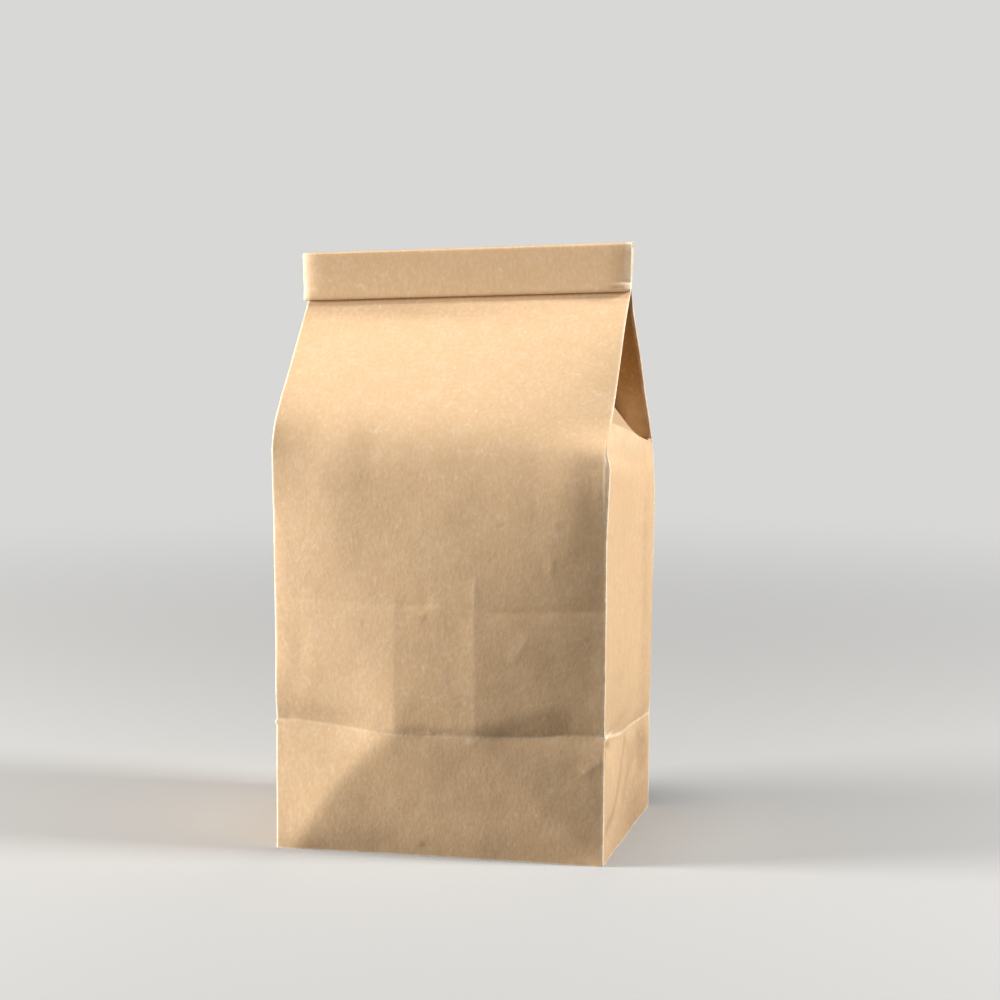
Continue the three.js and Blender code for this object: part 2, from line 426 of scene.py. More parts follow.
# on the side panels all of this is painted shade: low at the back, beside the corner's pinch and along the
# folds
sideShade = [(18, 0, 34, 19, 0.8), (-41, 41, 2.5, 2.5, 0.6), (-35, 41.8, 4.5, 1.4, 0.7),
            (-12, 46, 20, 3, 0.2), (12, 28, 12, 5, 0.3), (33, 24, 9, 14, 0.6), (-22, 14, 14, 3, 0.3),
            (30, 85, 5, 45, 0.25), (-20, 60, 14, 8, 0.12)]
# How far the side panels stand out or in, from the front edge to the back.
sideAcross = (-45, -32, -10, 12, 30, 40, 45)
sideHollow = [
    (0, (0, 0, 0, 0, 0, 0, 0)),
    (14, (0, 0.9, 0.1, -1.3, -1.0, -0.3, 0)),
    (30, (0, 0.6, 0.2, -1.2, -0.6, 0.2, 0)),
    (42, (0, 0.2, -0.3, -1.1, 0.0, 0.5, 0)),
    (80, (0, -0.1, -0.7, -1.4, 0.1, 0.9, 0)),
    (105, (0, -0.2, -0.9, -1.2, 0.3, 1.1, 0)),
    (128, (0, 0.3, -0.3, -0.8, 0.3, 0.9, 0)),
    (156, (0, 0.5, -0.2, -0.5, 0.0, 0.4, 0)),
]
# How uneven the paper is, as (how far out, over what length, seed) for each layer of it.
frontRough = [(0.28, 34, 3.1), (0.1, 13, 7.7), (0.03, 4.5, 1.3)]
backRough = [(0.3, 30, 21.5), (0.12, 11, 25.2)]
rightRough = [(0.35, 26, 11.3), (0.15, 9, 15.3)]
leftRough = [(0.35, 26, 17.9), (0.15, 9, 21.9)]


def fromLine(line, u, v):
    # how far each place is from a line, on which side of it, and how far along
    best = np.full(u.shape, 1e9)
    side = np.zeros(u.shape)
    along = np.zeros(u.shape)
    total = sum(math.dist(a, b) for a, b in zip(line, line[1:]))
    walked = 0
    for (au, av), (bu, bv) in zip(line, line[1:]):
        du, dv = bu - au, bv - av
        length = math.hypot(du, dv)
        t = np.clip(((u - au) * du + (v - av) * dv) / length**2, 0, 1)
        gap = np.hypot(u - au - t * du, v - av - t * dv)
        nearer = gap < best
        best = np.where(nearer, gap, best)
        side = np.where(nearer, du * (v - av) - dv * (u - au), side)
        along = np.where(nearer, (walked + t * length) / total, along)
        walked += length
    return best, side, along


def fadedEnds(mark, along):
    fade = mark.get("fade", 0)
    if not fade:
        return 1.0
    return ease(0, fade, along) * (1 - ease(1 - fade, 1, along))


def spot(u, v, across, up, wide, tall):
    return np.exp(-(((u - across) / wide) ** 2) - ((v - up) / tall) ** 2)


def blobs(patches, u, v):
    value = np.zeros(u.shape)
    for across, up, wide, tall, amount in patches:
        value = np.maximum(value, amount * spot(u, v, across, up, wide, tall))
    return value


def markHeight(mark, u, v):
    # how far one mark moves the paper out at each place
    gap, side, along = fromLine(mark["line"], u, v)
    reach = np.where(side > 0, mark["reach"][0], mark["reach"][1])
    soft = mark.get("soft", 0.15)
    return mark["depth"] * np.exp((soft - np.hypot(gap, soft)) / reach) * fadedEnds(mark, along)


def markTint(marks, key, patches, u, v):
    # how much the paper is rubbed pale or soiled along the marks, and in a few patches
    value = blobs(patches, u, v)
    for mark in marks:
        if key in mark:
            gap, side, along = fromLine(mark["line"], u, v)
            line = np.exp(-((gap / wearAndPaintedLight[key + "Reach"]) ** 2))
            value = np.maximum(value, mark[key] * line * fadedEnds(mark, along))
    return value


def frontRelief(x, z):
    out = sum(markHeight(mark, x, z) for mark in frontMarks)
    for across, up, wide, tall, deep in frontDents:
        out = out + deep * spot(x, z, across, up, wide, tall)
    rough = unevenness(frontRough, x, z)
    return out + cushion(bellyAcross, belly, x, z) + rough * ease(0, 6, bag["width"] / 2 - np.abs(x))


def sideRelief(end, y, z):
    out = sum(markHeight(mark, y, z) for mark in sideMarks)
    rough = unevenness(rightRough if end > 0 else leftRough, y, z)
    return (out + rough) * ease(0, 5, bag["depth"] / 2 - np.abs(y)) + cushion(sideAcross, sideHollow, y, z)


def backRelief(x, z):
    half = bag["width"] / 2
    top = bag["backBulgeTop"]
    upward = np.clip(np.sin(np.pi * np.clip(z, 0, top) / top), 0, 1) ** 0.8
    swell = bag["backBulge"] * (1 - (x / half) ** 2) * upward
    fold = {"line": [(-62, bag["foldUp"][1]), (62, bag["foldUp"][1])], "depth": -0.9, "reach": (6, 4)}
    return swell + markHeight(fold, x, z) + unevenness(backRough, x, z) * ease(0, 6, half - np.abs(x))


def frontLine(x, z):
    # the front sheet before its relief: how far back it is at each place
    ridgeY, ridgeZ = ridgeAt(x)
    half = bag["depth"] / 2
    bend = bag["middleBend"] - bag["bendDrop"] * ease(bag["bendDropFrom"], bag["width"] / 2, x)
    meets = ridgeY - bag["ridgeGap"]
    slope = meets - (ridgeZ - z) * (meets + half) / (ridgeZ - bend)
    wide = bag["middleSoftness"] * (1 - ease(0.8, 1.0, (z - bend) / (ridgeZ - bend)))
    middle = 0.5 * (slope - half + np.sqrt((slope + half) ** 2 + wide**2))
    edge = np.where(x > 0, softLine(frontRight, z), softLine(frontLeft, z))
    share = np.abs(x) / (bag["width"] / 2)
    return middle + (edge - middle) * share ** bag["edgeHold"]


def backLine(x, z):
    ridgeY, ridgeZ = ridgeAt(x)
    foot = gusset["backTop"]
    top = bag["ridge"][1]
    # the right edge's line, with its slope squeezed to where the ridge is lower
    squeezed = foot + (z - foot) * (top - foot) / (ridgeZ - foot)
    line = softLine(backRight, np.where(z > foot, squeezed, z))
    return line - (bag["ridge"][0] - ridgeY) * ease(foot, top, z)


# The rows of the sheet from the base up: to the gusset's top, to the ridge, then round the roll. It is
# finer near the folds.
bodyRows = stations([(0, 0.6), (4, 1.2), (40, 1.2), (46, 0.45), (52, 1.0), (85, 1.1), (91, 0.7), (97, 1.2),
                     (140, 1.4), (156, 1.4)])
frontColumns = stations([(-60, 0.3), (-57.5, 0.5), (-54, 0.95), (-20, 1.0), (-15, 0.5), (-10, 1.0), (9, 1.0),
                         (14, 0.5), (20, 1.0), (54, 0.95), (57.5, 0.5), (60, 0.3)])
sideColumns = 68
cornerColumns = 5
backStep = 2.3
gableRows = sideColumns // 2  # each row above the panel folds one more column in at both ends


def rollPath():
    # the line of the middle of the pressed mouth, as (back, up, turn), from the ridge to its hidden end
    pitch = 2 * roll["halfNeck"] + roll["layerGap"]
    flat = roll["crownFlat"]
    sharp = roll["lipFlat"]
    crown = roll["top"] - roll["halfNeck"] - pitch * flat
    lip = -roll["hang"] + roll["halfNeck"] + pitch / 2
    path = [(0.0, h, 0.0) for h in np.linspace(0, crown, 12)[1:]]
    for turn in np.linspace(0, math.pi, 10)[1:]:
        out, over = math.cos(turn), math.sin(turn)
        back = -pitch + pitch * math.copysign(abs(out) ** flat, out)
        path.append((back, crown + pitch * flat * over**flat, turn))
    hanging = stations([(-crown, 1.4), (-lip - 2, 0.6), (-lip, 0.4)])[1:] * -1
    path += [(-2 * pitch, h, math.pi) for h in hanging]
    for turn in np.linspace(0, math.pi, 9)[1:]:
        out, under = math.cos(turn), math.sin(turn)
        back = -1.5 * pitch - pitch / 2 * math.copysign(abs(out) ** sharp, out)
        path.append((back, lip - pitch / 2 * under**sharp, math.pi + turn))
    path += [(-pitch, h, 2 * math.pi) for h in np.linspace(lip, roll["inner"], 6)[1:]]
    return np.array(path)


mouthPath = rollPath()
rowCount = len(bodyRows) + gableRows + len(mouthPath)
bodyCount = len(bodyRows)
ridgeRow = bodyCount + gableRows - 1  # the row on the ridge


def sheetHeights(x, face):
    # how high each row up to the ridge is at each x
    z = np.zeros((ridgeRow + 1, x.shape[1]))
    body = bodyRows[:, None]
    if face < 0:
        right, left = gusset["frontTop"]
        top = right + (left - right) * fromRight(x)
        z[:bodyCount] = body + (top - bodyRows[-1]) * ease(100, bodyRows[-1], body)
    else:
        top = gusset["backTop"] + 0 * x
        folds = [0, bag["foldUp"][1], gusset["backTop"]]
        z[:bodyCount] = np.interp(body, [0, bag["foldUp"][0], bodyRows[-1]], folds)
    share = (np.arange(1, gableRows + 1) / gableRows)[:, None]
    z[bodyCount:] = top + (ridgeAt(x)[1] - top) * share
    return z


def rollBend(x, up, turn):
    # how far back the roll's ends are bent, with the pinch near the right one
    beyond = bag["width"] / 2 - np.abs(x)
    bent = 0
    for bends, there in ((roll["rightBends"], x > 0), (roll["leftBends"], x < 0)):
        for wide, steep in bends:
            bent = bent + there * steep * wide / 2 * np.clip(1 - beyond / wide, 0, 1) ** 2
    above, deep, long, wide = roll["pinch"]
    pinch = deep * np.exp(-(((up - above) / wide) ** 2)) * (x > 0) * (1 - ease(0, long, beyond))
    # the lowest 4 mm stay with the slopes, and only the front of the roll is pinched
    return bent * ease(0, 4, up) + pinch * (turn == math.pi)


def sheetRows(x, face):
    # Every row of the front (face -1) or back (face 1) sheet at each x: its points, and which way is out.
    x = np.asarray(x, float)[None, :]
    ridgeY, ridgeZ = ridgeAt(x)
    points = np.zeros((rowCount, x.shape[1], 3))
    outward = np.zeros(points.shape)
    points[..., 0] = x
    # up to the ridge
    line, relief = (frontLine, frontRelief) if face < 0 else (backLine, backRelief)
    z = sheetHeights(x, face)
    xs = np.broadcast_to(x, z.shape)
    y = line(xs, z) + face * relief(xs, z) * (1 - ease(0.86, 1.0, z / ridgeZ))
    dy = np.gradient(y, axis=0)
    dz = np.gradient(z, axis=0)
    points[:ridgeRow + 1, :, 1] = y
    points[:ridgeRow + 1, :, 2] = z
    outward[:ridgeRow + 1, :, 1] = face * dz / np.hypot(dy, dz)
    outward[:ridgeRow + 1, :, 2] = -face * dy / np.hypot(dy, dz)
    # the ridge itself lies between the slope and the neck
    points[ridgeRow, :, 1] = ridgeY[0] + face * roll["halfNeck"]
    outward[ridgeRow, :, 1:] = (face, 0)
    # round the roll
    back, up, turn = (mouthPath[:, k][:, None] for k in range(3))
    lean = roll["lean"] - roll["leanTwist"] * fromRight(x)
    outward[ridgeRow + 1:, :, 1] = face * np.cos(turn)
    outward[ridgeRow + 1:, :, 2] = face * np.sin(turn)
    half = face * roll["halfNeck"]
    points[ridgeRow + 1:, :, 1] = ridgeY + rollBend(x, up, turn) + back + up * lean + half * np.cos(turn)
    points[ridgeRow + 1:, :, 2] = ridgeZ + up + half * np.sin(turn)
    return points, outward


def edgeRadius(face):
    # the fold's radius at each row, of the front edge (face -1) or the back one (face 1)
    radius = np.full(rowCount, bag["neckRadius"])
    radius[:bodyCount] = bag["cornerRadius"]
    share = np.arange(1, gableRows + 1) / gableRows
    leaf = bag["leafRadius"][(face + 1) // 2]
    leaf = leaf + (bag["cornerRadius"] - leaf) * (1 - ease(0, 0.12, share))
    radius[bodyCount:ridgeRow + 1] = leaf + (bag["neckRadius"] - leaf) * ease(0.86, 1, share)
    return radius


def flareAt(end, face):
    # how far beyond the bag's edge each row's fold is
    flare = np.zeros(rowCount)
    up, out = zip(*edgeBulge[("left" if end < 0 else "right") + ("Front" if face < 0 else "Back")])
    flare[:bodyCount] = np.interp(bodyRows, up, out)
    flare[ridgeRow + 1:] = roll["flare"][(end + 1) // 2] * ease(0, 8, np.arange(rowCount - ridgeRow - 1))
    return flare


def tuckedPath(first, last, deep):
    # How the folded-in paper runs from the front leaf to the back one, this deep in: straight over at first,
    # then down behind the panel's top edge and up along the back leaf.
    held = 1 - ease(*gusset["held"], deep)
    overLeast, overMost = gusset["over"]
    grows, within, late = gusset["overGrows"]
    turnAt = min(overLeast + grows * (deep / within) ** late, overMost) if deep > 0 else overMost
    leafSlope = (bag["ridge"][1] - gusset["backTop"]) / (bag["depth"] / 2)
    panelTop = gusset["backTop"] + gusset["topSlope"] * (bag["depth"] / 2 - last[1])
    down = max(0, (last[2] - panelTop + gusset["drop"] * deep) / leafSlope) * held
    over = first + (last - first) * turnAt
    sunk = last + np.array([0, down, -down * leafSlope])
    if down < 0.1:
        sunk = over + (last - over) * 0.5
    knots = np.array([first, over, sunk, last])
    lengths = distances(knots)
    return lambda share: np.array([np.interp(share * lengths[-1], lengths, knots[:, k]) for k in range(3)])


def cornerArc(end, face):
    # the upright fold at one end of the front or the back, from the sheet round towards the side
    edge = np.array([end * (bag["width"] / 2 - bag["cornerRadius"])])
    line, out = (part[:, 0] for part in sheetRows(edge, face))
    # a right angle beside the side panel, and a half turn soon above it
    gable = np.clip((np.arange(rowCount) - bodyCount + 1) / gableRows, 0, 1)
    span = np.radians(90 + 90 * ease(0, 0.09, gable))[:, None]
    sideways = np.array([end, 0, 0])
    radius = edgeRadius(face)[:, None]
    flare = flareAt(end, face)[:, None] * sideways
    hub = line + flare + sideways * (bag["cornerRadius"] - radius) - out * radius
    turns = [span * k / cornerColumns for k in range(cornerColumns + 1)]
    strips = [hub + radius * (out * np.cos(turn) + sideways * np.sin(turn)) for turn in turns]
    return np.stack(strips, axis=1)


def leafBehind(end, face, across):
    # where the gusset's columns lie once they are folded in behind the front or back sheet
    half = bag["width"] / 2
    inX = end * (half - np.minimum(across, bag["depth"] - across))
    leaf, out = sheetRows(inX, face)
    leaf = leaf - out * 2 * edgeRadius(face)[:, None, None]
    return leaf + flareAt(end, face)[:, None, None] * np.array([end, 0, 0])


def sidePanel(end):
    # The corner folds and the side panel at one end, from the front's edge to the back's.
    depth = bag["depth"]
    across = depth * np.arange(1, sideColumns) / sideColumns
    frontArc = cornerArc(end, -1)
    backArc = cornerArc(end, 1)[:, ::-1]
    behindFront = leafBehind(end, -1, across)
    behindBack = leafBehind(end, 1, across)
    middle = sideColumns // 2 - 1
    panel = np.concatenate([behindFront[:, :middle + 1], behindBack[:, middle + 1:]], axis=1)
    above = slice(ridgeRow + 1, rowCount)
    panel[above, middle] = (behindFront[above, middle] + behindBack[above, middle]) / 2
    for j in range(ridgeRow + 1):
        step = max(0, j - bodyCount + 1)  # columns already folded in on this row
        first = frontArc[j, -1] if step == 0 else behindFront[j, step - 1]
        last = backArc[j, 0] if step == 0 else behindBack[j, sideColumns - step - 1]
        path = tuckedPath(first, last, depth / sideColumns * step)
        for i in range(step + 1, sideColumns - step):
            panel[j, i - 1] = path((i - step) / (sideColumns - 2 * step))
    # what the filling and the folds do to it
    body = slice(0, bodyCount)
    nearFold = np.exp(-(((bodyRows - bag["foldUp"][0]) / bag["sagReach"]) ** 2))[:, None]
    panel[body, :, 2] -= bag["foldSag"] * nearFold * np.sin(np.pi * across / depth)
    fadeTop = 1 - ease(0.93, 1.0, np.arange(bodyCount) / bodyCount)[:, None]
    panel[body, :, 0] += end * sideRelief(end, panel[body, :, 1], panel[body, :, 2]) * fadeTop
    return frontArc, panel, backArc


def sheetColumns():
    # where the columns of the front are, and those of the back on each side of the seam
    half = bag["width"] / 2
    inner = half - bag["cornerRadius"]
    seam = -bag["seamAt"]
    lap = seam + bag["seamLap"]
    left = np.linspace(seam, -inner, int((half + seam) / backStep))
    right = np.linspace(inner, lap + 0.3, int((half - lap) / backStep))
    return frontColumns * inner / half, left, np.r_[right, lap, lap - 0.4, np.linspace(lap - 0.7, seam, 6)]


def seatedSheet(xs, face):
    # the front or back sheet, whose columns near the edges follow the flare and the tighter fold
    points, out = sheetRows(xs, face)
    flare = np.where(xs[None, :] > 0, flareAt(1, face)[:, None], flareAt(-1, face)[:, None])
    nearEdge = np.abs(xs) / (bag["width"] / 2 - bag["cornerRadius"])
    pull = (flare + bag["cornerRadius"] - edgeRadius(face)[:, None]) * nearEdge[None, :] ** 12
    points[..., 0] += np.sign(xs)[None, :] * pull
    return points


def foldedSheet():
    # Every column of the sheet round the bag, from the seam up the back round to the seam again.
    frontX, backLeftX, backRightX = sheetColumns()
    rightFront, rightPanel, rightBack = sidePanel(1)
    leftFront, leftPanel, leftBack = sidePanel(-1)
    backLap = seatedSheet(backRightX, 1)
    lap = bag["seamLap"] - bag["seamAt"]
    backLap[:ridgeRow, :, 1] += bag["seamStep"] * ease(0, 0.4, lap - backRightX)[None, :]
    parts = [
        (seatedSheet(backLeftX, 1)[:, :-1], "sheet"),
        (leftBack[:, ::-1], "corner"),
        (leftPanel[:, ::-1], "panel"),
        (leftFront[:, ::-1], "corner"),
        (seatedSheet(frontX, -1)[:, 1:-1], "sheet"),
        (rightFront, "corner"),
        (rightPanel, "panel"),
        (rightBack, "corner"),
        (backLap[:, 1:], "sheet"),
    ]
    kinds = np.concatenate([[kind] * part.shape[1] for part, kind in parts])
    return np.concatenate([part for part, kind in parts], axis=1), kinds


# ---- where the paper is worn, and where light and shade are painted on it ----

wearAndPaintedLight = {
    "wornReach": 0.45,  # mm to each side of a mark
    "soiledAndShadedReach": 3.0,
    "foldReach": 0.28,
    "rollTop": 0.2,  # along the top of the roll: wear and painted highlight
    "softEdge": 0.85,  # how much less along the right front edge where it is soft
    "softEdgeUp": (143, 146, 154, 160),  # which is there in full from the second height to the third
    # painted shade and painted light on the folded-in paper of the gussets, in the pocket between the slopes
    "leafGap": (1.5, 3.5),  # how far from the back leaf the folded-in paper counts as lying on it, and not
    "recessShadeUp": (148, 172),  # how high up its painted shade is at its darkest there
    "recessShadeLeast": 0.25,
    "lowPaintedLight": 0.5,  # how much paler it is painted low down there, as painted light
    "lowUp": (142, 168),
    "roofShade": 0.45,  # and how much painted shade where it isn't on the leaf
}


def closeTo(lines, at, reach):
    gap = np.min(np.abs(np.asarray(at)[:, None] - np.asarray(lines)[None, :]), axis=1)
    return np.exp(-((gap / reach) ** 2))


def foldWearAndHighlights(places, kinds):
    # rubbed pale, as wear and painted highlight, along the upright folds, the base's edge and the top of the
    # roll
    x, y, z = (places[..., k] for k in range(3))
    middle = bodyCount // 2
    across = distances(places[middle])
    rubbedAndLit = closeTo(across[kinds == "corner"], across, wearAndPaintedLight["foldReach"])[None, :]
    starts, full, ends, gone = wearAndPaintedLight["softEdgeUp"]
    soft = (x > 50) * (y < -20) * ease(starts, full, z) * (1 - ease(ends, gone, z))
    rubbedAndLit = rubbedAndLit * (1 - wearAndPaintedLight["softEdge"] * soft)
    frontColumn = np.argmin(np.abs(x[middle]) + 10 * (y[middle] > 0))
    up = distances(places[:, frontColumn])
    top = up[ridgeRow + 12:ridgeRow + 20].mean()  # the rows that turn over the top of the roll
    rubbedAndLit = np.maximum(rubbedAndLit, closeTo([0], up, wearAndPaintedLight["foldReach"])[:, None])
    return np.maximum(rubbedAndLit, wearAndPaintedLight["rollTop"] * closeTo([top], up, wearAndPaintedLight["foldReach"])[:, None])


def paperWearAndPaintedLight(places, kinds):
    # how much each place is rubbed pale and painted with highlight, how much it is soiled and painted with
    # shade, and how much painted shade it has where it lies folded in
    x, y, z = (places[..., k] for k in range(3))
    front = (kinds == "sheet")[None, :] & (y < 0)
    side = (kinds == "panel")[None, :] & (np.arange(len(places)) < bodyCount)[:, None]
    rubbedAndLit = np.maximum(foldWearAndHighlights(places, kinds), front * markTint(frontMarks, "worn", frontWearAndHighlights, x, z))
    rubbedAndLit = np.maximum(rubbedAndLit, side * markTint(sideMarks, "worn", sideWearAndHighlights, y, z))
    soiledAndShaded = front * blobs(frontSoilAndShade, x, z) + side * markTint(sideMarks, "soiledAndShaded", sideShade, y, z)
    # the folded-in paper has painted shade on the back leaf, less low down where it is also painted paler,
    # and duller painted shade elsewhere
    rows = slice(bodyCount, ridgeRow)
    up = z[rows]
    folded = (kinds == "panel")[None, :] * ease(0.1, 1.6, bag["width"] / 2 - np.abs(x[rows]))
    onLeaf = folded * (1 - ease(*wearAndPaintedLight["leafGap"], backLine(x[rows], up) - y[rows]))
    recessShade = np.zeros(x.shape)
    recessShade[rows] = onLeaf * (wearAndPaintedLight["recessShadeLeast"] + (1 - wearAndPaintedLight["recessShadeLeast"]) * ease(*wearAndPaintedLight["recessShadeUp"], up))
    rubbedAndLit[rows] = np.maximum(rubbedAndLit[rows], wearAndPaintedLight["lowPaintedLight"] * onLeaf * (1 - ease(*wearAndPaintedLight["lowUp"], up)))
    soiledAndShaded[rows] = np.maximum(soiledAndShaded[rows], wearAndPaintedLight["roofShade"] * (folded - onLeaf))
    return {"rubbedAndLit": rubbedAndLit, "soiledAndShaded": soiledAndShaded, "recessShade": recessShade}


# ---- the kraft paper's look ----

kraft = {
    "colour": (0.62, 0.412, 0.226),
    # the pale of rubbed folds and of painted highlights
    "rubbedAndLitColour": (0.92, 0.81, 0.62),
    # painted shade for the folded-in paper in the gusset's pocket
    "recessShadeTint": (0.68, 0.55, 0.27),
    # darker for soil, and for painted shade and shadow
    "soilAndShade": (0.54, 0.50, 0.46),
    "rubbingAndHighlight": 0.68,
    "roughness": 0.72,
    "mottling": 0.62,
    "flecks": 0.2,
    "paleFlecks": (0.86, 0.72, 0.52),
    "darkFlecks": (0.26, 0.15, 0.07),
    "palePulp": (1.0, 0.97, 0.90),
    "darkPulp": (0.30, 0.24, 0.18),
    "grainHeight": 0.000011,
}


def newGroup(name, inputs, outputs):
    group = bpy.data.node_groups.new(name, "ShaderNodeTree")
    for socket, kind, value in inputs:
        made = group.interface.new_socket(name=socket, in_out="INPUT", socket_type=kind)
        made.default_value = value
    for socket, kind in outputs:
        group.interface.new_socket(name=socket, in_out="OUTPUT", socket_type=kind)
    nodes = group.nodes
    return group, nodes, group.links.new, nodes.new("NodeGroupInput"), nodes.new("NodeGroupOutput")


def ramped(nodes, link, value, fromMin, fromMax, toMin=0, toMax=1):
    node = nodes.new("ShaderNodeMapRange")
    node.inputs["From Min"].default_value = fromMin
    node.inputs["From Max"].default_value = fromMax
    node.inputs["To Min"].default_value = toMin
    node.inputs["To Max"].default_value = toMax
    link(value, node.inputs["Value"])
    return node.outputs["Result"]


def maths(nodes, link, operation, a, b):
    node = nodes.new("ShaderNodeMath")
    node.operation = operation
    for socket, value in zip(node.inputs, (a, b)):
        if isinstance(value, (int, float)):
            socket.default_value = value
        else:
            link(value, socket)
    return node.outputs[0]


def mixed(nodes, link, blend, factor, a, b):
    node = nodes.new("ShaderNodeMix")
    node.data_type = "RGBA"
    node.blend_type = blend
    for name, value in (("Factor", factor), ("A", a), ("B", b)):
        if isinstance(value, (int, float, tuple)):
            node.inputs[name].default_value = value
        else:
            link(value, node.inputs[name])
    return node.outputs["Result"]


def noiseAt(nodes, link, vector, scale, detail, roughness=0.5, stretch=None):
    if stretch:
        squeeze = nodes.new("ShaderNodeMapping")
        squeeze.inputs["Scale"].default_value = stretch
        link(vector, squeeze.inputs["Vector"])
        vector = squeeze.outputs["Vector"]
    node = nodes.new("ShaderNodeTexNoise")
    node.inputs["Scale"].default_value = scale
    node.inputs["Detail"].default_value = detail
    node.inputs["Roughness"].default_value = roughness
    link(vector, node.inputs["Vector"])
    return node.outputs["Fac"]


def edgeWearAndHighlights():
    # rubs a colour pale where its mask is, patchily: wear and painted highlights
    group, nodes, link, given, out = newGroup(
        "edgeWearAndHighlights",
        [
            ("Colour", "NodeSocketColor", (0.6, 0.4, 0.2, 1)),
            ("Pale Colour", "NodeSocketColor", (0.9, 0.8, 0.6, 1)),
            ("Mask", "NodeSocketFloat", 0),
            ("Amount", "NodeSocketFloat", 0.8),
            ("Vector", "NodeSocketVector", (0, 0, 0)),
        ],
        [("Colour", "NodeSocketColor")])
    patches = noiseAt(nodes, link, given.outputs["Vector"], 260, 3)
    spread = ramped(nodes, link, patches, 0.3, 0.6, 0.35, 1)
    share = maths(nodes, link, "MULTIPLY", spread, given.outputs["Mask"])
    strength = maths(nodes, link, "MULTIPLY", share, given.outputs["Amount"])
    worn = mixed(nodes, link, "MIX", strength, given.outputs["Colour"], given.outputs["Pale Colour"])
    link(worn, out.inputs["Colour"])
    return group


def paperFibre():
    # mottles a colour the way unbleached pulp is, with pale and dark fibres, and gives their height
    group, nodes, link, given, out = newGroup(
        "paperFibre",
        [
            ("Colour", "NodeSocketColor", (0.6, 0.4, 0.2, 1)),
            ("Mottling", "NodeSocketFloat", 0.5),
            ("Flecks", "NodeSocketFloat", 0.5),
            ("Vector", "NodeSocketVector", (0, 0, 0)),
        ],
        [("Colour", "NodeSocketColor"), ("Height", "NodeSocketFloat")])
    at = given.outputs["Vector"]
    # clouds and grain, lighter and darker than the colour
    cloud = ramped(nodes, link, noiseAt(nodes, link, at, 150, 4, 0.6), 0.3, 0.7, -1, 1)
    grain = ramped(nodes, link, noiseAt(nodes, link, at, 800, 3, 0.6, (1, 1, 0.7)), 0.3, 0.7, -1, 1)
    both = maths(nodes, link, "ADD", maths(nodes, link, "MULTIPLY", cloud, 0.5), grain)
    amount = maths(nodes, link, "MULTIPLY", given.outputs["Mottling"], 0.12)
    shade = maths(nodes, link, "MULTIPLY", both, amount)
    darker = ramped(nodes, link, shade, 0, -1)
    look = mixed(nodes, link, "MULTIPLY", darker, given.outputs["Colour"], (*kraft["darkPulp"], 1))
    look = mixed(nodes, link, "MIX", ramped(nodes, link, shade, 0, 1), look, (*kraft["palePulp"], 1))
    # single fibres
    for scale, start, full, colour in ((520, 0.62, 0.74, "paleFlecks"), (430, 0.30, 0.22, "darkFlecks")):
        fibres = ramped(nodes, link, noiseAt(nodes, link, at, scale, 2, 0.5, (1, 1, 0.6)), start, full)
        strength = maths(nodes, link, "MULTIPLY", fibres, given.outputs["Flecks"])
        look = mixed(nodes, link, "MIX", strength, look, (*kraft[colour], 1))
    link(look, out.inputs["Colour"])
    link(maths(nodes, link, "ADD", grain, maths(nodes, link, "MULTIPLY", cloud, 0.6)), out.inputs["Height"])
    return group


def groupNode(nodes, group):
    node = nodes.new("ShaderNodeGroup")
    node.node_tree = group
    return node


def attribute(nodes, name):
    node = nodes.new("ShaderNodeAttribute")
    node.attribute_name = name
    return node.outputs["Fac"]


def kraftMaterial():
    material = bpy.data.materials.new("kraftPaper")
    material.use_nodes = True
    nodes = material.node_tree.nodes
    link = material.node_tree.links.new
    shader = nodes["Principled BSDF"]
    shader.inputs["Roughness"].default_value = kraft["roughness"]
    place = nodes.new("ShaderNodeTexCoord")
    # painted shade mixed into the colour where the paper lies folded in the gusset's pocket
    deep = [a * b for a, b in zip(kraft["colour"], kraft["recessShadeTint"])]
    shade = mixed(nodes, link, "MIX", attribute(nodes, "recessShade"), (*kraft["colour"], 1), (*deep, 1))
    # soil, painted shade and painted shadow darken the colour
    grubbyAndShaded = mixed(nodes, link, "MULTIPLY", attribute(nodes, "soiledAndShaded"), shade, (*kraft["soilAndShade"], 1))
    fibre = groupNode(nodes, paperFibre())
    fibre.inputs["Mottling"].default_value = kraft["mottling"]
    fibre.inputs["Flecks"].default_value = kraft["flecks"]
    link(grubbyAndShaded, fibre.inputs["Colour"])
    link(place.outputs["Object"], fibre.inputs["Vector"])
    worn = groupNode(nodes, edgeWearAndHighlights())
    worn.inputs["Pale Colour"].default_value = (*kraft["rubbedAndLitColour"], 1)
    worn.inputs["Amount"].default_value = kraft["rubbingAndHighlight"]
    link(fibre.outputs["Colour"], worn.inputs["Colour"])
    link(attribute(nodes, "rubbedAndLit"), worn.inputs["Mask"])
    link(place.outputs["Object"], worn.inputs["Vector"])
    link(worn.outputs["Colour"], shader.inputs["Base Color"])
    bump = nodes.new("ShaderNodeBump")
    bump.inputs["Distance"].default_value = kraft["grainHeight"]
    link(fibre.outputs["Height"], bump.inputs["Height"])
    link(bump.outputs["Normal"], shader.inputs["Normal"])
    return material


# ---- the pieces ----

base = {
    "rim": 0.8,  # how far in from its edge the underside is set
    "setIn": 0.75,  # and how deep
    "flapInset": 1.5,  # how much less the flaps reach than the base
    "flapDeep": 50.0,  # the glued flaps that close it, front to back
    "flapCut": 12.0,
    "flapThick": 0.18,
    "flapGap": 0.1,
}


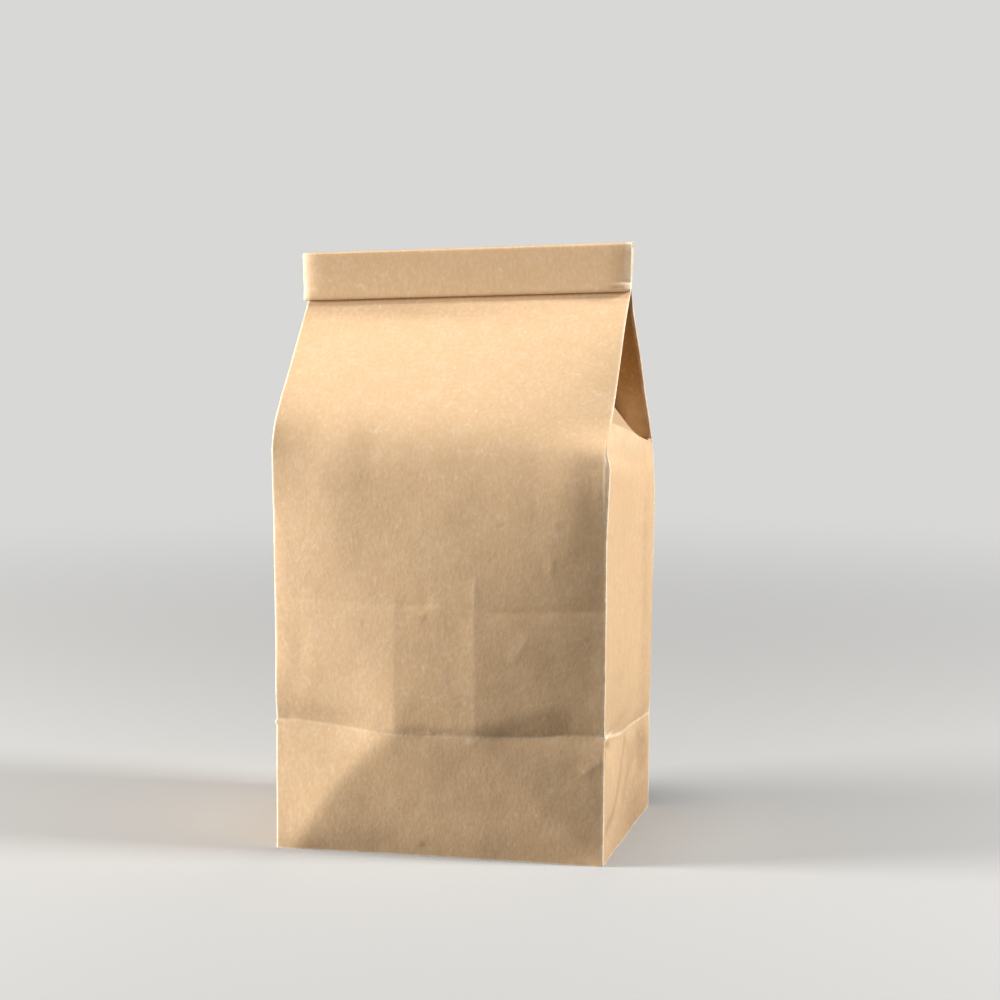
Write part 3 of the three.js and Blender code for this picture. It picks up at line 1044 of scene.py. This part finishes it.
def finishPiece(bm, name, material, smooth=32):
    bmesh.ops.scale(bm, vec=(mm, mm, mm), verts=bm.verts)
    bmesh.ops.translate(bm, vec=bagMiddle, verts=bm.verts)
    for edge in bm.edges:
        if len(edge.link_faces) == 2:
            edge.smooth = edge.calc_face_angle() < math.radians(smooth)
    for face in bm.faces:
        face.smooth = True
    mesh = bpy.data.meshes.new(name)
    bm.to_mesh(mesh)
    bm.free()
    mesh.materials.append(material)
    piece = bpy.data.objects.new(name, mesh)
    bpy.context.collection.objects.link(piece)
    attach(piece, "root")
    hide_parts("pouch")


def softenGussets(bm, grid, places, kinds):
    inward = bag["width"] / 2 - np.abs(places[..., 0])
    folded = []
    for j in range(bodyCount, ridgeRow):
        columns = np.nonzero((kinds == "panel") & (inward[j] > gusset["softBeyond"]))[0]
        folded += [grid[(i, j)] for i in columns]
    for _ in range(gusset["softTimes"]):
        bmesh.ops.smooth_vert(bm, verts=folded, factor=0.5, use_axis_y=True, use_axis_z=True)


def layPaper():
    # the sheet as a grid, each point moved to its place, with its wear and its painted light and shade
    places, kinds = foldedSheet()
    rows, columns = places.shape[:2]
    worn = paperWearAndPaintedLight(places, kinds)
    bm = bmesh.new()
    bmesh.ops.create_grid(bm, x_segments=columns - 1, y_segments=rows - 1, size=1)
    layers = {name: bm.verts.layers.float.new(name) for name in worn}
    grid = {}
    for vert in bm.verts:
        i = round((vert.co.x + 1) / 2 * (columns - 1))
        j = round((vert.co.y + 1) / 2 * (rows - 1))
        grid[(i, j)] = vert
        vert.co = places[j, i]
        for name, values in worn.items():
            vert[layers[name]] = values[j, i]
    softenGussets(bm, grid, places, kinds)
    left = [grid[(0, j)] for j in range(rows)]
    right = [grid[(columns - 1, j)] for j in range(rows)]
    return bm, left, right


def closeSeam(bm, left, right):
    # joins the sheet's two upright edges, then closes the base and the roll's hidden end
    seam = [bm.edges.get(pair) for line in (left, right) for pair in zip(line, line[1:])]
    bmesh.ops.bridge_loops(bm, edges=seam)
    for end in (left[0], left[-1]):
        ring = [e for e in bm.edges if e.is_boundary and all(abs(v.co.z - end.co.z) < 8 for v in e.verts)]
        bmesh.ops.contextual_create(bm, geom=ring)
    # above the slopes the two edges are pressed together
    bmesh.ops.remove_doubles(bm, verts=left + right, dist=0.01)
    bmesh.ops.recalc_face_normals(bm, faces=bm.faces)


def setInBase(bm):
    # the base is the one large face that looks down
    under = [face for face in bm.faces if face.normal.z < -0.99 and face.calc_area() > 5000]
    bmesh.ops.inset_region(bm, faces=under, thickness=base["rim"], depth=-base["setIn"])
    # what is set in gets neither wear nor painted highlight
    rubbedAndLit = bm.verts.layers.float["rubbedAndLit"]
    for face in under:
        for vert in face.verts:
            vert[rubbedAndLit] = 0


def makeFlap(name, back, level, material):
    # a glued flap of the base, at its front (back -1) or back (back 1)
    bm = bmesh.new()
    bmesh.ops.create_grid(bm, x_segments=1, y_segments=1, size=0.5)
    bmesh.ops.scale(bm, vec=(bag["width"] - 2 * base["flapInset"], base["flapDeep"], 1), verts=bm.verts)
    middle = bag["depth"] / 2 - base["flapInset"] - base["flapDeep"] / 2
    up = base["flapGap"] + level * base["flapThick"] * 1.2
    bmesh.ops.translate(bm, vec=(0, back * middle, up), verts=bm.verts)
    for vert in bm.verts:
        # the corners at the overlap are cut back
        if vert.co.y * back < middle:
            vert.co.x *= 1 - 2 * base["flapCut"] / bag["width"]
    bmesh.ops.solidify(bm, geom=bm.faces[:], thickness=-base["flapThick"])
    bmesh.ops.recalc_face_normals(bm, faces=bm.faces)
    finishPiece(bm, name, material)


def makeBag():
    material = kraftMaterial()
    bm, left, right = layPaper()
    print("paper folded")
    closeSeam(bm, left, right)
    setInBase(bm)
    finishPiece(bm, "pouchPaper", material)
    makeFlap("frontFlap", -1, 1, material)
    makeFlap("backFlap", 1, 0, material)
    print("seam, base and flaps")


makeBag()
